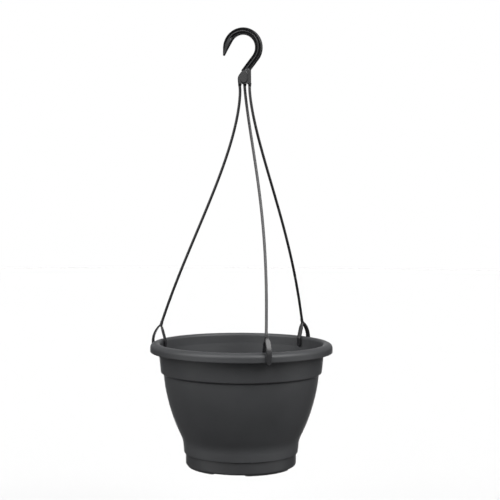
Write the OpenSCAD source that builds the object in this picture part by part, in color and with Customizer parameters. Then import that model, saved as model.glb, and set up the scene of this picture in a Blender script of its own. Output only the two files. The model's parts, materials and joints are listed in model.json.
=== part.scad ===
// Hanging basket: a moulded pot, a saucer pegged under it, and a hanger of one
// flexible moulding with a hook, three strands and three forked rim clips.
// The origin is the seat of the hook, where a rail bears. +Z is up, the hook lies
// in the XZ plane with its mouth towards -X, and the pot hangs on the Z axis.

/* [Pot] */
// Outer diameter of the rim
rim_d = 300; // [290:1:320]
// Height of the rim's crest above the ground face of the saucer
basket_h = 203; // [194:1:219]
// Width of the rim, from its inner edge to its outer edge
rim_w = 16; // [14:0.5:18]
// Height of the rim, from the crest to the bottom of its lip
lip_h = 14.8; // [12:0.1:17]
// Height of the collar band below the rim, down to the step
band_h = 48; // [40:1:56]
// Outer diameter of the pot at its waist
waist_d = 190; // [184:1:194]
// Wall thickness
wall = 2; // [1.6:0.1:2.2]
// Number of drain holes in the floor
drain_count = 8; // [4:1:12]
// Diameter of a drain hole
drain_d = 9; // [6:0.5:10]

/* [Saucer] */
// Height of the saucer that shows below the pot
saucer_h = 22.6; // [20:0.2:26]
// How far the saucer's wall reaches up inside the pot's foot
saucer_lap = 6; // [4:0.5:7]
// Height of the ground ribs under the saucer
ground_rib_h = 1.6; // [1:0.1:2.5]
// Angle that each of the four ground ribs spans
ground_rib_span = 56; // [40:1:70]
// Diameter of the pegs that hold the saucer in the pot's floor
peg_d = 8; // [6:0.5:9]

/* [Hanger] */
// Height from the saucer's ground face up to the seat of the hook
hang_h = 706; // [644:2:764]
// Inner radius of the hook
hook_r = 21; // [18:0.5:24]
// Width of the hook's bar, in the plane of the hook
bar_w = 12; // [11:0.5:13]
// Depth of the hook's bar, across the plane of the hook
bar_d = 9.5; // [8.5:0.5:11]
// Lean of the hook's stem from the vertical
stem_lean = 38; // [36:1:40]
// Diameter of a strand
strand_d = 4.5; // [3.5:0.1:5]
// Width of a clip arm, along the rim
arm_w = 8.5; // [7:0.5:10]
// Thickness of a clip arm
arm_t = 3; // [2.6:0.1:3.2]

/* [Hidden] */
$fn = 96;

ANTHRACITE = [0.21, 0.22, 0.23];
GRAPHITE = [0.16, 0.165, 0.17];
BLACK = [0.07, 0.07, 0.075];

// Clearances between pieces
air = 0.4;
peg_fit = 0.08;

// Hub: the block under the hook that the strands grow from
hub_w = 21.6;
hub_d = 10.5;
hub_x = 3;
hub_top = -55;
hub_bottom = -82;
nozzle_h = 3;
root_pitch = 8.3;
root_x = 3.6;
root_z = hub_bottom - nozzle_h;

// Each strand: direction of its clip, place of its root along the hub, side bow
LEFT = [180, -root_pitch, 0];
FRONT = [-59.3, 0, 13.5];
BACK = [56, root_pitch, -17];
bow_in = 16.4;
strand_rings = 26;
strand_sides = 10;

// Heights below are measured from the ground face and moved down at the end
rim_r = rim_d / 2;
inner_r = rim_r - rim_w;
lip_z = basket_h - lip_h;
step_z = basket_h - band_h;
waist_r = waist_d / 2;
waist_z = 35;
floor_z = saucer_h + saucer_lap + 2.4;
floor_t = 2.2;
foot_r = waist_r - 0.9;
saucer_r = foot_r - wall - 0.8;
band_top_r = inner_r + 1.6;
band_low_r = band_top_r - 3.1;
bowl_top_r = band_low_r - 4.7;

// Fork of a clip, in the plane across the rim: radius, then height
fork = [rim_r - 10, basket_h + 24];
fork_r = 2.7;
strand_end = [rim_r - 12, basket_h + 29];
arm_r = rim_r + air + 1.3 + arm_t / 2;
lip_r = rim_r - 0.9;
barb_z = lip_z - 0.6;
tongue_z = barb_z - 3.2;
prong_r = inner_r - 1.1 - arm_t / 2;

function mix(a, b, t) = a + (b - a) * t;

function bezier(p, t) =
    pow(1 - t, 3) * p[0]
    + 3 * pow(1 - t, 2) * t * p[1]
    + 3 * (1 - t) * t * t * p[2]
    + pow(t, 3) * p[3];

function curve(p, n) = [for (i = [0:n]) bezier(p, i / n)];

function reversed(list) = [for (i = [len(list) - 1:-1:0]) list[i]];

function across(v) = [-v[1], v[0]] / norm(v);

// The direction of a route at its point i
function heading(route, i) =
    route[min(i + 1, len(route) - 1)] - route[max(i - 1, 0)];

// The outline of a flat bar that follows a route with an even thickness
function ribbon(route, t) = concat(
    [for (i = [0:len(route) - 1]) route[i] + across(heading(route, i)) * t / 2],
    [for (i = [len(route) - 1:-1:0]) route[i] - across(heading(route, i)) * t / 2]
);

// Section of the hook's bar: a rib between two grooves on each face
module bar_section() {
    groove_w = bar_w * 0.24;
    groove_x = bar_w * 0.215;
    groove_h = bar_d * 0.3;
    cut = 1.8;
    difference() {
        polygon([
            [-bar_w / 2 + cut, -bar_d / 2],
            [bar_w / 2 - cut, -bar_d / 2],
            [bar_w / 2, -bar_d / 2 + cut],
            [bar_w / 2, bar_d / 2 - cut],
            [bar_w / 2 - cut, bar_d / 2],
            [-bar_w / 2 + cut, bar_d / 2],
            [-bar_w / 2, bar_d / 2 - cut],
            [-bar_w / 2, -bar_d / 2 + cut]
        ]);
        for (x = [-groove_x, groove_x], y = [-bar_d / 2, bar_d / 2])
            translate([x, y])
                square([groove_w, 2 * groove_h], center = true);
    }
}

// Turns a flat outline so that its first axis stays and its second points up
module upright(depth) {
    rotate([90, 0, 0])
        linear_extrude(depth, center = true)
            children();
}

module hook() {
    mid_r = hook_r + bar_w / 2;
    tip_start = 148;
    stem_x = mid_r * cos(stem_lean);
    stem_z = -hook_r - mid_r * sin(stem_lean);
    stem_lap = 0.5;
    stem_l = (stem_z - hub_top) / cos(stem_lean) + bar_w / 2;
    left = hub_x - hub_w / 2;
    right = hub_x + hub_w / 2;
    scallop_r = root_pitch / 2 - 1.6;
    outer_r = hook_r + bar_w;
    color(BLACK) {
        translate([0, 0, -hook_r])
            rotate([90, 0, 0])
                rotate([0, 0, -stem_lean])
                    rotate_extrude(angle = tip_start + stem_lean)
                        translate([mid_r, 0])
                            bar_section();
        translate([stem_x, 0, stem_z])
            rotate([0, 180 + stem_lean, 0])
                translate([0, 0, -stem_lap])
                    linear_extrude(stem_l)
                        bar_section();
        upright(bar_d - 1)
            hook_tip(tip_start - 2, outer_r);
        difference() {
            union() {
                upright(hub_d)
                    polygon([
                        [left, hub_bottom],
                        [left, -67],
                        [left + 7, hub_top - 3],
                        [right - 3, hub_top],
                        [right, hub_top - 1],
                        [right, hub_bottom]
                    ]);
                upright(hub_d + 1.2)
                    hub_pad();
            }
            for (x = [-root_pitch / 2, root_pitch / 2])
                translate([root_x + x, 0, hub_bottom])
                    rotate([90, 0, 0])
                        cylinder(h = hub_d + 2, r = scallop_r, center = true);
        }
        for (x = [-root_pitch, 0, root_pitch])
            translate([root_x + x, 0, root_z])
                cylinder(h = nozzle_h + 1, r1 = strand_d / 2 + 0.2, r2 = strand_d / 2 + 0.6);
    }
}

// The hook's flat tip, tapering from the end of the arc
module hook_tip(start, outer_r) {
    tip_z = -hook_r - 12.5;
    rim = [for (a = [start:4:180]) [cos(a), sin(a)] * outer_r - [0, hook_r]];
    inner_start = [cos(start), sin(start)] * hook_r - [0, hook_r];
    polygon(concat(
        rim,
        [
            [-outer_r, tip_z + 2],
            [-outer_r + 0.8, tip_z + 0.3],
            [-outer_r + 2.2, tip_z + 0.3],
            [-outer_r + 3.4, tip_z + 2],
            mix([-outer_r + 3.4, tip_z + 2], inner_start, 0.6) + [0.8, -0.6],
            inner_start
        ]
    ));
}

// Long rounded pad on both faces of the hub
module hub_pad() {
    pad_r = 6.2;
    for (z = [-64.5, -72.5])
        translate([root_x, z])
            circle(r = pad_r);
    translate([root_x, -68.5])
        square([2 * pad_r, 8], center = true);
}

// 0 at both ends of the way down a strand, and 1 where it bows in most
function bow_share(d) = 6.19 * pow(d, 0.88) * pow(1 - d, 2.14);

function strand_point(strand, d) =
    let (
        out = [cos(strand[0]), sin(strand[0])],
        side = [-out[1], out[0]],
        root = [root_x + strand[1], 0],
        way = mix(root, out * strand_end[0], d),
        bow = side * strand[2] * sin(180 * d) - out * bow_in * bow_share(d),
        drop = mix(root_z, strand_end[1] - hang_h, d)
    )
    [way[0] + bow[0], way[1] + bow[1], drop];

// A strand as one tube of level rings, from its root down to its clip
module strand(strand) {
    n = strand_sides;
    last = strand_rings - 1;
    points = [
        for (i = [0:last], k = [0:n - 1])
            strand_point(strand, i / last)
            + [cos(k * 360 / n), sin(k * 360 / n), 0] * strand_d / 2
    ];
    walls = [
        for (i = [0:last - 1], k = [0:n - 1])
            [
                i * n + k,
                i * n + (k + 1) % n,
                (i + 1) * n + (k + 1) % n,
                (i + 1) * n + k
            ]
    ];
    top = [for (k = [n - 1:-1:0]) k];
    bottom = [for (k = [0:n - 1]) last * n + k];
    color(BLACK)
        polyhedron(points, concat(walls, [top, bottom]), convexity = 4);
}

module at_clip(strand) {
    translate([0, 0, -hang_h])
        rotate([0, 0, strand[0]])
            children();
}

// Fixed half of a clip: the fork and the prong that stands inside the rim
module clip(strand) {
    toe = [prong_r, basket_h - 17.6];
    route = concat(
        curve([
            fork + [-0.8, -1],
            [inner_r + 1.5, basket_h + 13],
            [inner_r - 0.4, basket_h + 5],
            [prong_r, basket_h - 3]
        ], 8),
        [toe]
    );
    color(BLACK)
        at_clip(strand) {
            upright(arm_w) {
                translate(fork)
                    circle(r = fork_r);
                polygon(ribbon(route, arm_t - 0.2));
                translate(toe + [0.35, 0])
                    circle(r = arm_t / 2 - 0.1);
            }
            upright(strand_d + 1.6)
                polygon([
                    fork + [-2.2, 0],
                    fork + [2.2, 0],
                    strand_end + [strand_d / 2 + 0.6, 0],
                    strand_end + [-strand_d / 2 - 0.6, 0]
                ]);
        }
}

// Springy half of a clip: the arm outside the rim, with a barb under the lip
module jaw(strand) {
    route = concat(
        curve([
            fork + [0.8, 0],
            fork + [5.5, -3.5],
            [arm_r, basket_h + 9],
            [arm_r, basket_h - 2]
        ], 10),
        [[arm_r, tongue_z]]
    );
    color(BLACK)
        at_clip(strand)
            difference() {
                intersection() {
                    upright(arm_w) {
                        polygon(ribbon(route, arm_t));
                        polygon([
                            [arm_r, tongue_z],
                            [lip_r - 0.6, tongue_z + 0.6],
                            [lip_r - 1.6, barb_z - 1.2],
                            [arm_r, barb_z]
                        ]);
                    }
                    tongue();
                }
                translate([fork[0], 0, fork[1]])
                    rotate([90, 0, 0])
                        cylinder(h = arm_w + 2, r = fork_r + 0.25, center = true);
            }
}

// Outline of the arm as seen from outside: straight sides and a round end
module tongue() {
    end_r = arm_w / 2;
    translate([rim_r, 0, 0])
        rotate([90, 0, 90])
            linear_extrude(40, center = true) {
                translate([0, tongue_z + end_r])
                    circle(r = end_r);
                translate([-end_r, tongue_z + end_r])
                    square([arm_w, hang_h]);
            }
}

// The pot's outer side, from the foot up to the top of the band
function pot_outside() = concat(
    [
        [foot_r - 0.6, saucer_h],
        [foot_r, saucer_h + 0.6]
    ],
    curve([
        [waist_r, waist_z],
        [waist_r + 0.7, waist_z + 7],
        [waist_r + 1.6, waist_z + 10],
        [waist_r + 4.4, waist_z + 16]
    ], 6),
    curve([
        [waist_r + 4.4, waist_z + 16],
        [waist_r + 21.5, waist_z + 51],
        [bowl_top_r - 2.5, step_z - 33],
        [bowl_top_r, step_z - 3.5]
    ], 16),
    [
        [bowl_top_r + 0.5, step_z - 2.6],
        [band_low_r - 1, step_z - 0.8],
        [band_low_r - 0.2, step_z - 0.2],
        [band_low_r, step_z + 0.6],
        [band_top_r, lip_z - 2.4]
    ]
);

// The rim, from the band round its hollow underside, lip and crest to the inside
function rim_outline() = concat(
    [[band_top_r + 0.2, basket_h - 9]],
    curve([
        [band_top_r + 0.4, basket_h - 6],
        [band_top_r + 1, basket_h - 2.6],
        [rim_r - 2.4, basket_h - 1],
        [rim_r - 2.3, basket_h - 10]
    ], 8),
    [
        [rim_r - 2.1, lip_z],
        [lip_r, lip_z],
        [rim_r - 0.2, lip_z + 0.8],
        [rim_r, lip_z + 2]
    ],
    curve([
        [rim_r, basket_h - 7.5],
        [rim_r, basket_h - 3.5],
        [rim_r - 3.5, basket_h],
        [rim_r - 10, basket_h]
    ], 9),
    curve([
        [rim_r - 10.6, basket_h],
        [inner_r + 2.5, basket_h],
        [inner_r + 0.6, basket_h - 1.2],
        [inner_r, basket_h - 4]
    ], 5)
);

module pot() {
    outside = pot_outside();
    inside = [
        for (p = reversed(outside))
            if (p[1] > floor_z + floor_t + 1 && p[0] > waist_r)
                p - [wall, 0]
    ];
    peg_r = saucer_r * 0.66;
    color(ANTHRACITE)
        translate([0, 0, -hang_h])
            difference() {
                rotate_extrude($fn = 180)
                    polygon(concat(
                        outside,
                        rim_outline(),
                        inside,
                        [
                            [waist_r - wall - 0.4, floor_z + floor_t + 1.6],
                            [waist_r - wall - 2.2, floor_z + floor_t],
                            [0, floor_z + floor_t],
                            [0, floor_z],
                            [foot_r - wall - 1, floor_z],
                            [foot_r - wall, floor_z - 1],
                            [foot_r - wall, saucer_h + 0.6],
                            [foot_r - wall + 0.6, saucer_h]
                        ]
                    ));
                for (i = [0:drain_count - 1])
                    rotate([0, 0, (i + 0.5) * 360 / drain_count])
                        translate([saucer_r * 0.85, 0, floor_z - 1])
                            cylinder(h = floor_t + 2, d = drain_d, $fn = 40);
                for (a = [0:90:270])
                    rotate([0, 0, a])
                        translate([peg_r, 0, floor_z - 1])
                            cylinder(h = floor_t + 2, d = peg_d + 2 * peg_fit);
            }
}

module saucer() {
    base_z = ground_rib_h;
    top_z = saucer_h + saucer_lap;
    floor_top = base_z + wall + 0.2;
    low_r = saucer_r - 0.4;
    peg_r = saucer_r * 0.66;
    round_r = 3.2;
    rib_out = low_r - round_r + 0.6;
    color(GRAPHITE)
        translate([0, 0, -hang_h]) {
            rotate_extrude($fn = 180)
                polygon(concat(
                    [[0, base_z]],
                    curve([
                        [low_r - round_r, base_z],
                        [low_r - round_r * 0.45, base_z],
                        [low_r, base_z + round_r * 0.55],
                        [low_r, base_z + round_r]
                    ], 6),
                    [
                        [saucer_r, top_z - 0.6],
                        [saucer_r - 0.6, top_z],
                        [saucer_r - wall, top_z]
                    ],
                    curve([
                        [low_r - wall, base_z + round_r + 1],
                        [low_r - wall, base_z + round_r * 0.55 + 1],
                        [low_r - round_r * 0.45 - wall, floor_top],
                        [low_r - round_r - wall, floor_top]
                    ], 5),
                    [[0, floor_top]]
                ));
            for (a = [0:90:270])
                rotate([0, 0, a + 45 - ground_rib_span / 2 + 2])
                    rotate_extrude(angle = ground_rib_span, $fn = 180)
                        translate([rib_out - 5, 0])
                            square([5, base_z + 0.5]);
            for (a = [0:90:270])
                rotate([0, 0, a])
                    translate([peg_r, 0, base_z + 1])
                        peg(floor_z + floor_t + 4 - base_z - 1);
        }
}

// A round peg on a wider foot, with a short lead-in at its tip
module peg(height) {
    lead = 1.2;
    cylinder(h = height - lead, d = peg_d);
    translate([0, 0, height - lead])
        cylinder(h = lead, d1 = peg_d, d2 = peg_d - 2 * lead);
    cylinder(h = 8, d = peg_d + 4);
}

hook();
strand(LEFT);  // strand_left
strand(FRONT);  // strand_front
strand(BACK);  // strand_back
clip(LEFT);  // clip_left
clip(FRONT);  // clip_front
clip(BACK);  // clip_back
jaw(LEFT);  // jaw_left
jaw(FRONT);  // jaw_front
jaw(BACK);  // jaw_back
pot();
saucer();
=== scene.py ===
"""Looks of the hanging basket: moulded pot, clip-on saucer and a one-piece hanger.

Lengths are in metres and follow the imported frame. The pot, the saucer and the clips
are drawn in their own section plane first: u is the distance from the basket's axis
and h the height above the ground face of the saucer, both in millimetres.
"""

import json
import math

import bmesh
import bpy
import numpy as np
from mathutils import Matrix, Vector


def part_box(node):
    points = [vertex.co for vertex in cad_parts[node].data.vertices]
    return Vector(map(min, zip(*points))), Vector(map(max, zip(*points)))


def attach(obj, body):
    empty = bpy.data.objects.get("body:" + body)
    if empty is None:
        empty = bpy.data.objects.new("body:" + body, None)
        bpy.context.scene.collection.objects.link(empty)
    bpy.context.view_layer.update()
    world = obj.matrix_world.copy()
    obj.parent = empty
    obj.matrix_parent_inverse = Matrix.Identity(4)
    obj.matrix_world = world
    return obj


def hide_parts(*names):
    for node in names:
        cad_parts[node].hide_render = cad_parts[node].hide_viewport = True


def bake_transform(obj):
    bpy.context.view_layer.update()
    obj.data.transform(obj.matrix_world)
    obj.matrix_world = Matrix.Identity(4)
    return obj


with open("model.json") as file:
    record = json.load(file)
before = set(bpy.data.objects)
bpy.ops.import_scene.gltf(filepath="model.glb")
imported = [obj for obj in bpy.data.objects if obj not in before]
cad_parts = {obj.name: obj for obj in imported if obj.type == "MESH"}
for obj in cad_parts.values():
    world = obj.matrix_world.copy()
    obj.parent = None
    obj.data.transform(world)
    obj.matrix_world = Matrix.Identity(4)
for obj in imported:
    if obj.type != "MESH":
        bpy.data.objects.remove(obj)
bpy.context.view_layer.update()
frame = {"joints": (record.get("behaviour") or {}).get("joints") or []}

MM = 0.001
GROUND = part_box("saucer")[0].z
RIM_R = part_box("pot")[1].x / MM
CREST = (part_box("pot")[1].z - GROUND) / MM
FOOT = (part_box("pot")[0].z - GROUND) / MM
SAUCER_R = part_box("saucer")[1].x / MM
PEG_TOP = (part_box("saucer")[1].z - GROUND) / MM

JOINTS = {joint["name"]: joint for joint in frame["joints"]}
ROOT = Vector(JOINTS["basket_swing"]["pos_m"])
TURN_Z = JOINTS["basket_turn"]["pos_m"][2]

# Distance between the roots of two strands next to each other
PITCH = 0.0083

# Place of each strand's root along the hub, and how far the strand bows sideways
STRANDS = {"left": (-PITCH, 0.0), "front": (0.0, 0.0135), "back": (PITCH, -0.017)}
BOW_IN = 0.0164
STRAND_R = 0.00225


def clip_angle(strand):
    """The direction of a strand's clip from the basket's axis, in radians."""
    x, y = JOINTS[f"jaw_{strand}_open"]["pos_m"][:2]
    return math.atan2(y, x)


# ---------------------------------------------------------------- small helpers

LATHE_STEPS = 240
SHARP_ANGLE = math.radians(40)
HOOK_VOXEL = 0.0003
CLIP_VOXEL = 0.00028
SOFTEN_PASSES = 5


def mix(a, b, t):
    """The value a share t of the way from a to b."""
    return a + (b - a) * t


def smooth(t):
    """Eases from 0 to 1 as t goes from 0 to 1, and stays level beyond."""
    t = min(max(t, 0.0), 1.0)
    return t * t * (3 - 2 * t)


def bezier(p, count):
    """Points along a cubic Bezier curve, both ends included."""
    p = [np.array(q, float) for q in p]
    found = []
    for i in range(count + 1):
        t = i / count
        s = 1 - t
        found.append(s**3 * p[0] + 3 * s * s * t * p[1] + 3 * s * t * t * p[2] + t**3 * p[3])
    return found


def fillet(corner, before, after, radius, count=5):
    """The corner of an outline, rounded to about that radius."""
    into = before - corner
    out = after - corner
    room = 0.45 * min(np.linalg.norm(into), np.linalg.norm(out))
    reach = min(radius, room)
    a = corner + into / np.linalg.norm(into) * reach
    b = corner + out / np.linalg.norm(out) * reach
    steps = [i / count for i in range(count + 1)]
    return [(1 - t) ** 2 * a + 2 * (1 - t) * t * corner + t * t * b for t in steps]


def rounded(points):
    """An outline of (u, h) or (u, h, corner radius) points with its corners rounded."""
    plain = [np.array(p[:2], float) for p in points]
    found = []
    for i, point in enumerate(points):
        radius = point[2] if len(point) > 2 else 0
        if radius and 0 < i < len(points) - 1:
            found += fillet(plain[i], plain[i - 1], plain[i + 1], radius)
        else:
            found.append(plain[i])
    return found


def supported(points, longest=7.0, guard=0.35):
    """Adds points along the long straight runs, so that smooth shading stays flat there."""
    found = [points[0]]
    for a, b in zip(points, points[1:]):
        length = np.linalg.norm(b - a)
        if length > 4 * guard:
            stops = [guard / length]
            pieces = max(1, math.ceil(length / longest))
            stops += [i / pieces for i in range(1, pieces)]
            stops.append(1 - guard / length)
            found += [mix(a, b, t) for t in stops]
        found.append(b)
    return found


def make(name, verts, faces):
    """A smooth-shaded object from its points and faces."""
    mesh = bpy.data.meshes.new(name)
    mesh.from_pydata([tuple(v) for v in verts], [], faces)
    mesh.validate()
    obj = bpy.data.objects.new(name, mesh)
    bpy.context.scene.collection.objects.link(obj)
    mesh.shade_smooth()
    return obj


def outward(obj):
    """Turns every face of a closed mesh outward."""
    bm = bmesh.new()
    bm.from_mesh(obj.data)
    bmesh.ops.remove_doubles(bm, verts=bm.verts, dist=1e-7)
    bmesh.ops.recalc_face_normals(bm, faces=bm.faces)
    bm.to_mesh(obj.data)
    bm.free()


def lathe(name, outline, steps):
    """Revolves an outline of (u, h) points in mm, whose first and last are on the axis."""
    verts = []
    rings = []
    for u, h in outline:
        z = GROUND + h * MM
        if u < 1e-6:
            rings.append([len(verts)] * steps)
            verts.append((0, 0, z))
            continue
        rings.append(list(range(len(verts), len(verts) + steps)))
        for k in range(steps):
            a = 2 * math.pi * k / steps
            verts.append((u * MM * math.cos(a), u * MM * math.sin(a), z))
    faces = []
    for low, high in zip(rings, rings[1:]):
        for k in range(steps):
            n = (k + 1) % steps
            corners = [low[k], low[n], high[n], high[k]]
            faces.append(list(dict.fromkeys(corners)))
    obj = make(name, verts, faces)
    outward(obj)
    return obj


def loft(name, sections):
    """Joins closed sections of equal point counts into one solid with flat ends."""
    n = len(sections[0])
    verts = [v for section in sections for v in section]
    faces = [list(range(n))[::-1]]
    for i in range(len(sections) - 1):
        for k in range(n):
            m = (k + 1) % n
            faces.append([i * n + k, i * n + m, (i + 1) * n + m, (i + 1) * n + k])
    faces.append([(len(sections) - 1) * n + k for k in range(n)])
    obj = make(name, verts, faces)
    outward(obj)
    return obj


def apply_modifiers(obj):
    """Replaces an object's mesh with what its modifiers make of it."""
    graph = bpy.context.evaluated_depsgraph_get()
    mesh = bpy.data.meshes.new_from_object(obj.evaluated_get(graph))
    obj.modifiers.clear()
    old = obj.data
    obj.data = mesh
    bpy.data.meshes.remove(old)
    mesh.name = obj.name
    return obj


def boolean(obj, tools, operation):
    """Cuts the tools out of obj, or joins them to it, and removes them."""
    for tool in tools:
        modifier = obj.modifiers.new("cut", "BOOLEAN")
        modifier.operation = operation
        modifier.solver = "MANIFOLD"
        modifier.object = tool
    apply_modifiers(obj)
    for tool in tools:
        bpy.data.objects.remove(tool)
    return obj


def join(name, parts):
    """One object from several meshes, in the frame's own coordinates."""
    bm = bmesh.new()
    for part in parts:
        bm.from_mesh(part.data)
        bpy.data.objects.remove(part)
    mesh = bpy.data.meshes.new(name)
    bm.to_mesh(mesh)
    bm.free()
    obj = bpy.data.objects.new(name, mesh)
    bpy.context.scene.collection.objects.link(obj)
    return obj


def moulded(name, parts, voxel):
    """Melts overlapping solids into one moulding with softened edges."""
    obj = join(name, parts)
    remesh = obj.modifiers.new("melt", "REMESH")
    remesh.mode = "VOXEL"
    remesh.voxel_size = voxel
    soften = obj.modifiers.new("soften", "SMOOTH")
    soften.factor = 0.5
    soften.iterations = SOFTEN_PASSES
    apply_modifiers(obj)
    obj.data.shade_smooth()
    return obj


# ------------------------------------------------------------------- materials


def plastic(name, colour, roughness, specular, grain, wear):
    """Moulded polypropylene: fine grain, uneven gloss, and edges rubbed paler."""
    material = bpy.data.materials.new(name)
    material.use_nodes = True
    nodes = material.node_tree.nodes
    links = material.node_tree.links
    shader = nodes["Principled BSDF"]
    shader.inputs["IOR"].default_value = 1.49
    shader.inputs["Specular IOR Level"].default_value = specular
    place = nodes.new("ShaderNodeTexCoord")

    def noise(scale, detail, rough=0.55):
        found = nodes.new("ShaderNodeTexNoise")
        found.inputs["Scale"].default_value = scale
        found.inputs["Detail"].default_value = detail
        found.inputs["Roughness"].default_value = rough
        links.new(place.outputs["Object"], found.inputs["Vector"])
        return found

    def spread(source, low, high, new_low, new_high):
        found = nodes.new("ShaderNodeMapRange")
        for socket, value in zip(
            ("From Min", "From Max", "To Min", "To Max"), (low, high, new_low, new_high)
        ):
            found.inputs[socket].default_value = value
        links.new(source, found.inputs["Value"])
        return found

    def paler(factor, times):
        """A mix from the plastic's own colour to a paler one, by factor."""
        found = nodes.new("ShaderNodeMix")
        found.data_type = "RGBA"
        links.new(factor, found.inputs["Factor"])
        found.inputs["A"].default_value = (*colour, 1)
        found.inputs["B"].default_value = (*[c * times for c in colour], 1)
        return found

    # Slow clouding of the pigment, then paler rubbed edges
    cloud = noise(9, 3)
    clouded = spread(cloud.outputs["Fac"], 0.35, 0.65, 0, 1)
    toned = paler(clouded.outputs["Result"], 1.18)
    geometry = nodes.new("ShaderNodeNewGeometry")
    edge = spread(geometry.outputs["Pointiness"], 0.52, 0.62, 0, wear)
    broken = noise(160, 2)
    break_up = nodes.new("ShaderNodeMath")
    break_up.operation = "MULTIPLY"
    links.new(edge.outputs["Result"], break_up.inputs[0])
    links.new(broken.outputs["Fac"], break_up.inputs[1])
    rubbed = paler(break_up.outputs["Value"], 3.0)
    links.new(toned.outputs["Result"], rubbed.inputs["A"])
    links.new(rubbed.outputs["Result"], shader.inputs["Base Color"])

    # Gloss: slow unevenness with a fine speckle on it
    speckle = noise(700, 2)
    slow = spread(cloud.outputs["Fac"], 0.3, 0.7, roughness - 0.04, roughness + 0.04)
    fine = spread(speckle.outputs["Fac"], 0.3, 0.7, -0.03, 0.03)
    gloss = nodes.new("ShaderNodeMath")
    links.new(slow.outputs["Result"], gloss.inputs[0])
    links.new(fine.outputs["Result"], gloss.inputs[1])
    links.new(gloss.outputs["Value"], shader.inputs["Roughness"])

    # Grain of the mould's surface over a faint waviness of the wall
    fine_grain = noise(1900, 4, 0.6)
    grain_bump = nodes.new("ShaderNodeBump")
    grain_bump.inputs["Strength"].default_value = grain
    grain_bump.inputs["Distance"].default_value = 0.00012
    links.new(fine_grain.outputs["Fac"], grain_bump.inputs["Height"])
    wave = noise(38, 1)
    wave_bump = nodes.new("ShaderNodeBump")
    wave_bump.inputs["Strength"].default_value = 0.35
    wave_bump.inputs["Distance"].default_value = 0.0003
    links.new(wave.outputs["Fac"], wave_bump.inputs["Height"])
    links.new(grain_bump.outputs["Normal"], wave_bump.inputs["Normal"])
    links.new(wave_bump.outputs["Normal"], shader.inputs["Normal"])
    return material


POT_PLASTIC = plastic(
    "pot_plastic_look",
    (0.034, 0.035, 0.037),
    roughness=0.46,
    specular=0.4,
    grain=0.5,
    wear=0.25,
)
# The saucer's colour is darker than the pot's: that darkness is painted shade, standing in for the
# dimmer light at the basket's low end
SAUCER_SHADED_PLASTIC = plastic(
    "saucer_shaded_plastic_look",
    (0.024, 0.0245, 0.026),
    roughness=0.44,
    specular=0.4,
    grain=0.5,
    wear=0.25,
)
HANGER_PLASTIC = plastic(
    "hanger_plastic_look",
    (0.013, 0.013, 0.0142),
    roughness=0.24,
    specular=0.5,
    grain=0.25,
    wear=0.08,
)


def finish_piece(obj, material, slot, *nodes):
    """Gives a piece its material and hides the CAD nodes it stands for."""
    obj.data.materials.clear()
    obj.data.materials.append(material)
    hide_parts(*nodes)


# ------------------------------------------------------------------------- pot

RIM_W = 16.0
LIP_H = 14.8
BAND_H = 48
WALL = 2.0
INNER_R = RIM_R - RIM_W
LIP = CREST - LIP_H
LIP_R = RIM_R - 0.9
STEP = CREST - BAND_H
WAIST_R = 95.0
WAIST_H = 35.0
FLOOR = FOOT + 8.4
FLOOR_T = 2.2
FOOT_R = WAIST_R - 0.9
BAND_TOP_R = INNER_R + 1.6
BAND_LOW_R = BAND_TOP_R - 3.1
BOWL_TOP_R = BAND_LOW_R - 4.7
PEG_R = SAUCER_R * 0.66
DRAIN_R = SAUCER_R * 0.85
DRAINS = 8
DRAIN_D = 9.0
PEGS = 4
PEG_D = 8.0
PEG_FIT = 0.08

# Radii of the ring rib and of the shallow centre in the pot's floor
FLOOR_RING_R = 44.5
CENTRE_R = 8.7


def pot_side():
    """The pot's outer side, from its foot to the top of the band."""
    flare = bezier(
        [
            (WAIST_R, WAIST_H),
            (WAIST_R + 0.7, WAIST_H + 7),
            (WAIST_R + 1.6, WAIST_H + 10),
            (WAIST_R + 4.4, WAIST_H + 16),
        ],
        10,
    )
    bowl = bezier(
        [
            (WAIST_R + 4.4, WAIST_H + 16),
            (WAIST_R + 21.5, WAIST_H + 51),
            (BOWL_TOP_R - 2.5, STEP - 33),
            (BOWL_TOP_R, STEP - 3.4),
        ],
        44,
    )
    return (
        [(FOOT_R - 0.2, FOOT + 0.2, 0.5), (FOOT_R + 0.1, FOOT + 3), (WAIST_R, WAIST_H - 0.4)]
        + [tuple(p) for p in flare + bowl[1:]]
        + [
            (BOWL_TOP_R + 0.3, STEP - 2.5, 0.9),
            (BAND_LOW_R - 0.2, STEP - 0.3, 0.9),
            (BAND_LOW_R + 0.1, STEP + 1.5),
            (BAND_TOP_R, LIP - 2.4),
        ]
    )


def pot_rim():
    """Round the hollow underside, the lip and the crest of the rim to its inner edge."""
    hollow = bezier(
        [
            (BAND_TOP_R + 0.3, CREST - 9),
            (BAND_TOP_R + 1, CREST - 2.6),
            (RIM_R - 2.4, CREST - 1),
            (RIM_R - 2.3, CREST - 10),
        ],
        14,
    )
    outer = bezier(
        [
            (RIM_R, CREST - 7.5),
            (RIM_R, CREST - 3.5),
            (RIM_R - 3.5, CREST),
            (RIM_R - 10, CREST),
        ],
        16,
    )
    inner = bezier(
        [
            (RIM_R - 10.6, CREST),
            (INNER_R + 2.5, CREST),
            (INNER_R + 0.6, CREST - 1.2),
            (INNER_R, CREST - 4),
        ],
        10,
    )
    lip = [(RIM_R - 2.1, LIP, 0.4), (RIM_R - 0.1, LIP, 0.9), (RIM_R, LIP + 2)]
    return [tuple(p) for p in hollow] + lip + [tuple(p) for p in outer + inner]


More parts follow.
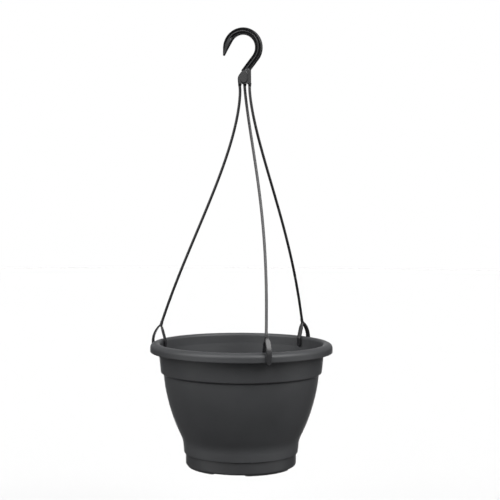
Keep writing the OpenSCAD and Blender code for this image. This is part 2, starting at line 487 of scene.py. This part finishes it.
def pot_inside(side):
    """Down the inner wall and over the floor's ring rib to the axis."""
    wall = [(p[0] - WALL, p[1]) for p in reversed(side) if p[1] > FLOOR + FLOOR_T + 4]
    top = FLOOR + FLOOR_T
    return wall + [
        (WAIST_R - WALL - 0.3, top + 4),
        (WAIST_R - WALL - 0.6, top, 3.0),
        (FLOOR_RING_R + 1.5, top),
        (FLOOR_RING_R + 0.7, top + 0.9, 0.4),
        (FLOOR_RING_R - 0.7, top + 0.9, 0.4),
        (FLOOR_RING_R - 1.5, top),
        (CENTRE_R + 0.3, top),
        (CENTRE_R - 0.3, top - 0.5, 0.3),
        (0, top - 0.5),
    ]


def drill(name, u, turn, radius):
    """A cutter for one round hole in the floor, flared a little at both faces."""
    low = FLOOR
    high = FLOOR + FLOOR_T
    flare = 0.5
    outline = [
        (0, low - 1),
        (radius + flare, low - 1),
        (radius + flare, low),
        (radius, low + flare),
        (radius, high - flare),
        (radius + flare, high),
        (radius + flare, high + 1),
        (0, high + 1),
    ]
    obj = lathe(name, outline, 40)
    place = Matrix.Rotation(math.radians(turn), 4, "Z") @ Matrix.Translation((u * MM, 0, 0))
    obj.data.transform(place)
    return obj


def make_pot():
    """The pot as one turned shell, with its drain holes and peg sockets cut through."""
    side = pot_side()
    under = [
        (0, FLOOR),
        (FOOT_R - WALL - 0.6, FLOOR, 1.2),
        (FOOT_R - WALL, FLOOR - 3),
        (FOOT_R - WALL + 0.1, FOOT + 0.2, 0.5),
    ]
    outline = under + side + pot_rim() + pot_inside(side)
    pot = lathe("pot_body", supported(rounded(outline)), LATHE_STEPS)
    drains = [
        drill(f"drain_{i}", DRAIN_R, (i + 0.5) * 360 / DRAINS, DRAIN_D / 2) for i in range(DRAINS)
    ]
    sockets = [
        drill(f"socket_{i}", PEG_R, i * 360 / PEGS, PEG_D / 2 + PEG_FIT) for i in range(PEGS)
    ]
    boolean(pot, drains + sockets, "DIFFERENCE")
    pot.data.shade_smooth()
    pot.data.set_sharp_from_angle(angle=SHARP_ANGLE)
    finish_piece(pot, POT_PLASTIC, "pot_plastic", "pot")
    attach(pot, "pot")


# ---------------------------------------------------------------------- saucer

RIB_H = 1.6
RIB_W = 5
RIB_SPAN = 56
RIB_TURN = 47
ROUND_R = 3.2
SAUCER_LAP = 6
SAUCER_RING_R = 56.5


def ground_rib(name, outer, high, middle):
    """Part of a ring under the saucer, with rounded lower edges and eased ends."""
    inner = outer - RIB_W
    steps = 28
    sections = []
    for i in range(steps + 1):
        t = i / steps
        a = math.radians(middle + RIB_SPAN * (t - 0.5))
        eased = 0.5 * (1 - smooth(min(t, 1 - t) * 18))
        points = rounded(
            [
                (inner, high),
                (inner, mix(eased, high, 0.5)),
                (inner + 0.1, eased, 0.6),
                (outer - 0.1, eased, 0.6),
                (outer, mix(eased, high, 0.5)),
                (outer, high),
            ]
        )
        across = Vector((math.cos(a), math.sin(a), 0))
        sections.append([across * (u * MM) + Vector((0, 0, GROUND + h * MM)) for u, h in points])
    return loft(name, sections)


def saucer_peg(name, low):
    """A round peg on a wider foot, from inside the saucer's floor up."""
    foot_r = PEG_D / 2 + 2
    shoulder = low + 8
    outline = rounded(
        [
            (0, low),
            (foot_r, low),
            (foot_r, shoulder, 0.4),
            (PEG_D / 2, shoulder, 0.5),
            (PEG_D / 2, PEG_TOP - 1.2, 0.5),
            (PEG_D / 2 - 1.2, PEG_TOP, 0.5),
            (0, PEG_TOP),
        ]
    )
    return lathe(name, supported(outline), 48)


def make_saucer():
    """The saucer as one turned tray, joined with its ground ribs and its pegs."""
    low_r = SAUCER_R - 0.4
    base = RIB_H
    floor_top = base + 2.2
    top = FOOT + SAUCER_LAP
    corner = bezier(
        [
            (low_r - ROUND_R, base),
            (low_r - 0.45 * ROUND_R, base),
            (low_r, base + 0.55 * ROUND_R),
            (low_r, base + ROUND_R),
        ],
        10,
    )
    inner = bezier(
        [
            (low_r - 2, base + 5),
            (low_r - 2, base + 3.2),
            (low_r - 3.8, floor_top),
            (low_r - 6, floor_top),
        ],
        8,
    )
    outline = (
        [(0, base)]
        + corner
        + [(SAUCER_R, top, 0.5), (SAUCER_R - WALL, top, 0.5)]
        + inner
        + [
            (SAUCER_RING_R + 1.5, floor_top),
            (SAUCER_RING_R + 0.8, floor_top + 0.8, 0.4),
            (SAUCER_RING_R - 0.8, floor_top + 0.8, 0.4),
            (SAUCER_RING_R - 1.5, floor_top),
            (0, floor_top),
        ]
    )
    saucer = lathe("saucer_body", supported(rounded(outline)), LATHE_STEPS)
    rib_out = low_r - ROUND_R + 0.6
    ribs = [
        ground_rib(f"rib_{i}", rib_out, base + 0.5, RIB_TURN + 360 / PEGS * i) for i in range(PEGS)
    ]
    pegs = []
    for i in range(PEGS):
        peg = saucer_peg(f"peg_{i}", base + 1)
        turn = Matrix.Rotation(2 * math.pi * i / PEGS, 4, "Z")
        peg.data.transform(turn @ Matrix.Translation((PEG_R * MM, 0, 0)))
        pegs.append(peg)
    boolean(saucer, ribs + pegs, "UNION")
    saucer.data.shade_smooth()
    saucer.data.set_sharp_from_angle(angle=SHARP_ANGLE)
    finish_piece(saucer, SAUCER_SHADED_PLASTIC, "saucer_plastic", "saucer")
    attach(saucer, "saucer")


# ------------------------------------------------------------------------ hook

# Lengths from here to the strands are in metres
HOOK_R = 0.021
BAR_W = 0.012
BAR_D = 0.0095
BAR_ROUND = 1.5
GROOVE_SHARE = 0.3
GROOVE_SINK = 1.35

# Depth of a groove that has faded out
FLAT = 1e-6
STEM_LEAN = 38
STEM_SINK = 0.008
TIP_START = 148
TIP_DROP = 0.0125
TIP_W = 0.003
TIP_D = 0.0062
HUB_X = 0.003
HUB_W = 0.0216
HUB_D = 0.0105
HUB_TOP = -0.055
HUB_LOW = -0.082

# The pad on the hub: its radius and the heights where its round ends are centred
PAD_R = 0.0058
PAD_HIGH = -0.0645
PAD_LOW = -0.0725


def bar_section(inner, outer, depth, groove_in, groove_out):
    """Section of the hook's bar between its inner and outer edge: a rib between two
    hollow grooves on each face, which fade out as their depths go to 0."""
    width = (outer - inner).length
    scale = width / BAR_W
    groove_at = 0.215 * width
    groove_half = 0.122 * width
    draft = 0.00035 * scale
    fall = min(0.0026 * scale, depth * 0.35)
    shoulder = width / 2 - groove_at - groove_half - draft
    rim = []
    for i in range(5):
        a = math.radians(90 * i / 5)
        inwards = shoulder * (1 - math.cos(a) ** BAR_ROUND)
        lower = fall * (1 - math.sin(a) ** BAR_ROUND)
        rim.append((width / 2 - inwards, depth / 2 - lower))
    face = [(-x, y) for x, y in rim]
    for at, sink in ((-groove_at, groove_in), (groove_at, groove_out)):
        face += [
            (at - groove_half - draft, depth / 2),
            (at - groove_half + draft, depth / 2 - sink),
            (at, depth / 2 - sink * GROOVE_SINK),
            (at + groove_half - draft, depth / 2 - sink),
            (at + groove_half + draft, depth / 2),
        ]
    face += rim[::-1]
    loop = face + [(x, -y) for x, y in reversed(face)]
    middle = (inner + outer) / 2
    along = (outer - inner) / width
    return [middle + along * x + Vector((0, y, 0)) for x, y in loop]


def hook_bar():
    """The stem, the arc and the flat tapered tip as one loft."""
    centre = Vector((0, 0, -HOOK_R))
    outer_r = HOOK_R + BAR_W

    def spoke(angle, radius):
        a = math.radians(angle)
        return centre + Vector((math.cos(a), 0, math.sin(a))) * radius

    lean = math.radians(STEM_LEAN)
    down = Vector((-math.sin(lean), 0, -math.cos(lean)))
    stem_top = spoke(-STEM_LEAN, HOOK_R + BAR_W / 2).z
    stem_length = (stem_top - HUB_TOP) / math.cos(lean) + STEM_SINK
    groove = BAR_D * GROOVE_SHARE
    sections = []
    stem_steps = 10
    for i in range(stem_steps):
        step = down * stem_length * (1 - i / stem_steps)
        inner = spoke(-STEM_LEAN, HOOK_R) + step
        outer = spoke(-STEM_LEAN, outer_r) + step
        sections.append(bar_section(inner, outer, BAR_D, groove, groove))
    turns = 72
    for i in range(turns + 1):
        angle = mix(-STEM_LEAN, TIP_START, i / turns)
        fade = smooth((TIP_START + 2 - angle) / 16)
        inner = spoke(angle, HOOK_R)
        outer = spoke(angle, outer_r)
        sections.append(bar_section(inner, outer, BAR_D, groove * fade, groove))
    tip_z = centre.z - TIP_DROP
    inner_start = spoke(TIP_START, HOOK_R)
    inner_end = Vector((-outer_r + TIP_W, 0, tip_z + 0.002))
    arc_share = 0.625
    steps = 16
    for i in range(1, steps + 1):
        t = i / steps
        inner = mix(inner_start, inner_end, t)
        angle = mix(TIP_START, 180, min(t / arc_share, 1))
        outer = spoke(angle, outer_r)
        if t > arc_share:
            below = (t - arc_share) / (1 - arc_share)
            outer = Vector((-outer_r, 0, mix(centre.z, tip_z + 0.0016, below)))
        depth = mix(BAR_D, TIP_D, smooth(t))
        groove = depth * mix(GROOVE_SHARE, 0.2, smooth(t * 1.5)) * smooth((1 - t) * 4)
        sections.append(bar_section(inner, outer, depth, FLAT, max(groove, FLAT)))
    cap_steps = 5
    for i in range(1, cap_steps + 1):
        a = math.radians(80 * i / cap_steps)
        narrow = (outer - inner) / 2 * (1 - math.cos(a))
        drop = Vector((0, 0, -0.0017 * math.sin(a)))
        thin = depth * mix(1, math.cos(a), 0.6)
        near = inner + narrow + drop
        far = outer - narrow + drop
        sections.append(bar_section(near, far, thin, FLAT, FLAT))
    return loft("hook_bar", sections)


def slab(name, outline, depth, chamfer):
    """A flat block lying across the hook's plane. For an outline point at x, chamfer gives
    how far its chamfer reaches in and how deep it goes."""
    middle = Vector((sum(p[0] for p in outline), 0, sum(p[1] for p in outline))) / len(outline)
    sections = []
    for face, share in ((-1, 1), (-1, 0), (1, 0), (1, 1)):
        ring = []
        for x, z in outline:
            reach, drop = chamfer(x)
            y = face * (depth / 2 - drop * (1 - share))
            towards = Vector((middle.x - x, 0, middle.z - z)).normalized()
            ring.append(Vector((x, y, z)) + towards * reach * share)
        sections.append(ring)
    return loft(name, sections)


def stadium(x, low, high, radius, count=20):
    """Outline of a long rounded pad, upright at x."""
    found = []
    for z, start in ((high, 0), (low, 180)):
        for i in range(count + 1):
            a = math.radians(start + 180 * i / count)
            found.append((x + radius * math.cos(a), z + radius * math.sin(a)))
    return found


def disc(name, x, z, radius, depth):
    """A plain round cutter lying across the hook's plane."""
    return slab(name, stadium(x, z - 1e-5, z + 1e-5, radius), depth, lambda x: (0.0001, 0.0001))


def hub_body():
    """The block that the strands grow from, scalloped between their roots."""
    left = HUB_X - HUB_W / 2
    right = HUB_X + HUB_W / 2
    shoulder = left + 0.0072
    corners = [
        (left + 0.0012, HUB_LOW, 0.0012),
        (right - 0.0008, HUB_LOW, 0.0012),
        (right, HUB_LOW + 0.004, 0.002),
        (right - 0.0003, HUB_TOP - 0.0012, 0.0012),
        (right - 0.003, HUB_TOP + 0.001, 0.001),
        (shoulder, HUB_TOP - 0.003, 0.003),
        (left, HUB_TOP - 0.0125, 0.004),
        (left, HUB_LOW + 0.007, 0.002),
    ]
    loop = [corners[-1]] + corners + [corners[0]]
    outline = [tuple(p) for p in rounded(loop)[1:-1]]
    wide = (0.003, 0.003)
    plain = (0.0024, 0.0024)
    block = slab("hub_block", outline, HUB_D, lambda x: wide if x < shoulder + 0.0001 else plain)
    cutters = [
        disc(f"scallop_{side}", ROOT.x + side * PITCH / 2, HUB_LOW, PITCH / 2 - 0.0016, 0.014)
        for side in (-1, 1)
    ]
    return boolean(block, cutters, "DIFFERENCE")


def nozzle(name, x):
    """The short cone that a strand grows from."""
    rows = [(HUB_LOW + 0.004, 0.003), (HUB_LOW, 0.0027), (ROOT.z + 0.0006, 0.0022)]
    sections = []
    count = 24
    for z, radius in rows:
        ring = []
        for k in range(count):
            a = 2 * math.pi * k / count
            ring.append(Vector((x + radius * math.cos(a), radius * math.sin(a), z)))
        sections.append(ring)
    return loft(name, sections)


def make_hook():
    """The bar, the hub with its pad and the three nozzles as one moulding."""
    oval = stadium(ROOT.x, PAD_LOW, PAD_HIGH, PAD_R)
    pad = slab("hub_pad", oval, HUB_D + 0.0013, lambda x: (0.0005, 0.0005))
    nozzles = [nozzle(f"nozzle_{k}", ROOT.x + k * PITCH) for k in (-1, 0, 1)]
    hook = moulded("hook_body", [hook_bar(), hub_body(), pad] + nozzles, HOOK_VOXEL)
    finish_piece(hook, HANGER_PLASTIC, "hanger_plastic", "hook")
    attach(hook, "hook")


# --------------------------------------------------------------------- strands

CLIP_U = JOINTS["jaw_left_open"]["pos_m"][0] / -MM
CLIP_H = (JOINTS["jaw_left_open"]["pos_m"][2] - GROUND) / MM
STRAND_END = ((CLIP_U - 2) * MM, TURN_Z)
STRAND_L = 0.4

# The length of the upper piece down from the strand's root, where the lower piece begins
BEND_L = 0.06

# How much thinner a length of strand is at its hidden ends
TUCK = 0.00012


def strand_point(strand, d):
    """A point on a strand's centreline, from its root (d 0) to its clip (d 1)."""
    offset, side_bow = STRANDS[strand]
    a = clip_angle(strand)
    out = Vector((math.cos(a), math.sin(a), 0))
    side = Vector((-out.y, out.x, 0))
    way = mix(Vector((ROOT.x + offset, 0, 0)), out * STRAND_END[0], d)
    # 0 at both ends, and 1 where the strand bows in most
    share = 6.19 * max(d, 0) ** 0.88 * (1 - d) ** 2.14
    bow = side * side_bow * math.sin(math.pi * d) - out * BOW_IN * share
    return way + bow + Vector((0, 0, mix(ROOT.z, STRAND_END[1], d)))


def tube(name, points, radius):
    """A round strand with the fine parting line of its mould down both sides."""
    count = 24
    across = Vector((1, 0, 0))
    sections = []
    for i, point in enumerate(points):
        along = (points[min(i + 1, len(points) - 1)] - points[max(i - 1, 0)]).normalized()
        across = (across - along * across.dot(along)).normalized()
        other = along.cross(across)
        ring = []
        for k in range(count):
            a = 2 * math.pi * k / count
            ridge = 0.00012 if k % (count // 2) == 0 else 0
            reach = radius(i / (len(points) - 1)) + ridge
            ring.append(point + (across * math.cos(a) + other * math.sin(a)) * reach)
        sections.append(ring)
    return loft(name, sections)


def tucked(t):
    """Radius of a length of strand, whose ends lie just inside the pieces next to them."""
    return STRAND_R if 0 < t < 1 else STRAND_R - TUCK


def make_strand(strand):
    """Two lengths of strand: an upper one from the hub, and a lower one down to the clip."""
    split = -BEND_L / (STRAND_END[1] - ROOT.z)
    overlap = 0.004
    spacing = 0.002
    rows = 34
    end = split + overlap
    upper = [strand_point(strand, mix(-overlap, end, i / rows)) for i in range(rows + 1)]
    piece = tube(f"strand_{strand}_upper", upper, tucked)
    finish_piece(piece, HANGER_PLASTIC, "hanger_plastic", f"strand_{strand}")
    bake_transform(piece)

    rows = int((1 - split) * STRAND_L / spacing)
    lower = [strand_point(strand, mix(split, 1.0, i / rows)) for i in range(rows + 1)]
    piece = tube(f"strand_{strand}_lower", lower, tucked)
    finish_piece(piece, HANGER_PLASTIC, "hanger_plastic", f"strand_{strand}")
    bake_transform(piece)


# ----------------------------------------------------------------------- clips

# The fork is narrow, and the arms below it grow to their full width over FORK_L
ARM_W = 8.5
ARM_T = 3.0
PRONG_T = 2.8
FORK_W = 4.6
FORK_L = 11
ARM_U = RIM_R + 3.2
PRONG_U = INNER_R - 2.6
BARB = LIP - 0.6
TONGUE = BARB - 3.2
ROUTE_STEP = 0.7


def at_clip(strand, u, w, h):
    """A point of a clip: out from the axis, along the rim and up, all in mm."""
    a = clip_angle(strand)
    x = (u * math.cos(a) - w * math.sin(a)) * MM
    y = (u * math.sin(a) + w * math.cos(a)) * MM
    return Vector((x, y, GROUND + h * MM))


def strap(name, strand, route, width, thickness):
    """A rounded strap that follows a route of (u, h) points in the clip's plane."""
    count = 32
    squareness = 0.32
    sections = []
    last = len(route) - 1
    for i, point in enumerate(route):
        along = route[min(i + 1, last)] - route[max(i - 1, 0)]
        along = along / np.linalg.norm(along)
        normal = np.array((-along[1], along[0]))
        t = i / last
        ring = []
        for k in range(count):
            a = 2 * math.pi * k / count
            c, s = math.cos(a), math.sin(a)
            x = math.copysign(abs(c) ** squareness, c) * width(t) / 2
            y = math.copysign(abs(s) ** squareness, s) * thickness / 2
            u, h = point + normal * y
            ring.append(at_clip(strand, u, x, h))
        sections.append(ring)
    return loft(name, sections)


def even(route, spacing):
    """The same route with evenly spaced points."""
    route = [np.array(p, float) for p in route]
    lengths = [0.0]
    for a, b in zip(route, route[1:]):
        lengths.append(lengths[-1] + np.linalg.norm(b - a))
    count = max(2, round(lengths[-1] / spacing))
    marks = np.linspace(0, lengths[-1], count + 1)
    us = np.interp(marks, lengths, [p[0] for p in route])
    hs = np.interp(marks, lengths, [p[1] for p in route])
    return [np.array(p) for p in zip(us, hs)]


def tongue_width(t, length):
    """Width of an arm: narrow at the fork, full a little below, and round at its end."""
    grown = mix(FORK_W, ARM_W, smooth(t * length / FORK_L))
    left = max((1 - t) * length, 0.05)
    if left >= ARM_W / 2:
        return grown
    return grown * math.sqrt(max(1 - (1 - left / (ARM_W / 2)) ** 2, 0.01))


def route_length(route):
    """The length of a route of points, in its own units."""
    return sum(np.linalg.norm(b - a) for a, b in zip(route, route[1:]))


def make_clip(strand):
    """The half that follows the rim: strand end, fork and the prong inside the rim."""
    fork = np.array((CLIP_U, CLIP_H))
    route = bezier(
        [
            fork + (-0.6, 0),
            (INNER_R + 1.5, CREST + 13),
            (INNER_R - 0.4, CREST + 5),
            (PRONG_U, CREST - 3),
        ],
        24,
    )
    route = even(route + [np.array((PRONG_U + 0.35, LIP - 2.6))], ROUTE_STEP)
    length = route_length(route)
    prong = strap("prong", strand, route, lambda t: tongue_width(t, length), PRONG_T)
    neck_from = 0.984
    stretch = [strand_point(strand, d) for d in np.linspace(neck_from, 1, 9)]
    below = at_clip(strand, CLIP_U, 0, CLIP_H - 2.2)
    stretch += [mix(stretch[-1], below, i / 9) for i in range(1, 10)]
    neck = tube("neck", stretch, lambda t: mix(0.0017, 0.00265, smooth(t * 1.9)))
    clip = moulded(f"clip_{strand}_body", [prong, neck], CLIP_VOXEL)
    finish_piece(clip, HANGER_PLASTIC, "hanger_plastic", f"clip_{strand}")
    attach(clip, "pot")


def make_jaw(strand):
    """The springy arm outside the rim, with the barb that hooks under the lip."""
    fork = np.array((CLIP_U, CLIP_H))
    route = bezier(
        [
            fork + (0.2, 0.4),
            fork + (5.5, -3.5),
            (ARM_U, CREST + 9),
            (ARM_U, CREST - 2),
        ],
        28,
    )
    route = even(route + [np.array((ARM_U, TONGUE))], ROUTE_STEP)
    length = route_length(route)
    arm = strap("arm", strand, route, lambda t: tongue_width(t, length), ARM_T)
    barb_outline = [
        (ARM_U, TONGUE + 0.8),
        (LIP_R - 0.6, TONGUE + 1.4),
        (LIP_R - 1.6, BARB - 1.0),
        (LIP_R - 1.0, BARB - 0.3),
        (ARM_U, BARB),
    ]
    half = ARM_W * 0.36
    sections = []
    for w in np.linspace(-half, half, 9):
        sections.append([at_clip(strand, u, w, h) for u, h in barb_outline])
    barb = loft("barb", sections)
    jaw = moulded(f"jaw_{strand}_body", [arm, barb], CLIP_VOXEL)
    finish_piece(jaw, HANGER_PLASTIC, "hanger_plastic", f"jaw_{strand}")
    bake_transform(jaw)


# ------------------------------------------------------------ studio and camera

FLOOR_Z = GROUND - 0.2
STUDIO_R = 9
CAMERA_AZIMUTH = 14.7
CAMERA_DISTANCE = 2.0
CAMERA_HEIGHT = 0.4433
CAMERA_TILT = 2.523
CAMERA_AIM = 0.382
CAMERA_ROLL = 0.27
CAMERA_LENS = 87.77

# Each light: turn from the camera's own direction, height, strength and angular size
LIGHTS = (
    ("key_right", 50, 45, 3.3, 50),
    ("key_left", -50, 45, 2.2, 50),
    ("side_left", -70, 10, 0.9, 50),
    ("side_right", 80, 8, 0.6, 50),
    ("front_left", -30, 7, 0.28, 30),
    ("front_right", 32, 7, 0.15, 30),
    ("back_low", 180, -12, 0.6, 40),
    ("sky", 0, 90, 1.0, 170),
    ("bounce", 0, -90, 0.34, 170),
)


def add_camera():
    """A camera that looks at the basket from a little above its rim."""
    camera = bpy.data.objects.new("camera", bpy.data.cameras.new("camera"))
    bpy.context.scene.collection.objects.link(camera)
    camera.data.sensor_width = 36
    camera.data.lens = CAMERA_LENS
    a = math.radians(CAMERA_AZIMUTH)
    place = Matrix.Translation(
        (
            CAMERA_DISTANCE * math.sin(a),
            -CAMERA_DISTANCE * math.cos(a),
            GROUND + CAMERA_HEIGHT,
        )
    )
    heading = Matrix.Rotation(math.radians(CAMERA_AZIMUTH - CAMERA_AIM), 4, "Z")
    tilt = Matrix.Rotation(math.radians(90 - CAMERA_TILT), 4, "X")
    roll = Matrix.Rotation(math.radians(CAMERA_ROLL), 4, "Z")
    camera.matrix_world = place @ heading @ tilt @ roll
    bpy.context.scene.camera = camera


def pale(name, colour, glow):
    """A matt surface of one colour that also gives off some even light."""
    material = bpy.data.materials.new(name)
    material.use_nodes = True
    shader = material.node_tree.nodes["Principled BSDF"]
    shader.inputs["Base Color"].default_value = (colour, colour, colour, 1)
    shader.inputs["Roughness"].default_value = 1
    shader.inputs["Specular IOR Level"].default_value = 0
    shader.inputs["Emission Color"].default_value = (1, 1, 1, 1)
    shader.inputs["Emission Strength"].default_value = glow
    return material


def backdrop(name, bm, material):
    """A surface from a bmesh, which only the camera sees."""
    mesh = bpy.data.meshes.new(name)
    bm.to_mesh(mesh)
    bm.free()
    mesh.materials.append(material)
    obj = bpy.data.objects.new(name, mesh)
    obj.location.z = FLOOR_Z
    bpy.context.scene.collection.objects.link(obj)
    obj.visible_diffuse = False
    obj.visible_glossy = False
    obj.visible_shadow = False
    obj.visible_transmission = False
    return obj


def add_studio():
    """A pale floor and dome behind the basket, and soft light from all round."""
    bm = bmesh.new()
    bmesh.ops.create_circle(bm, cap_ends=True, segments=96, radius=STUDIO_R)
    floor = backdrop("floor", bm, pale("pale_floor", 0.6, 0))
    bm = bmesh.new()
    bmesh.ops.create_uvsphere(bm, u_segments=64, v_segments=32, radius=STUDIO_R)
    dome = backdrop("dome", bm, pale("pale_dome", 0, 1))

    world = bpy.data.worlds.new("studio")
    world.use_nodes = True
    back = world.node_tree.nodes["Background"]
    back.inputs["Color"].default_value = (1, 1, 1, 1)
    back.inputs["Strength"].default_value = 0
    bpy.context.scene.world = world

    for name, azimuth, elevation, strength, angle in LIGHTS:
        light = bpy.data.objects.new(name, bpy.data.lights.new(name, "SUN"))
        light.data.energy = strength
        light.data.angle = math.radians(angle)
        a = math.radians(CAMERA_AZIMUTH + azimuth)
        e = math.radians(elevation)
        way = Vector((math.sin(a) * math.cos(e), -math.cos(a) * math.cos(e), math.sin(e)))
        light.rotation_mode = "QUATERNION"
        light.rotation_quaternion = way.to_track_quat("Z", "Y")
        bpy.context.scene.collection.objects.link(light)
    bpy.context.scene.view_settings.view_transform = "Standard"


add_camera()
make_pot()
make_saucer()
make_hook()
for strand in STRANDS:
    make_strand(strand)
    make_clip(strand)
    make_jaw(strand)
add_studio()
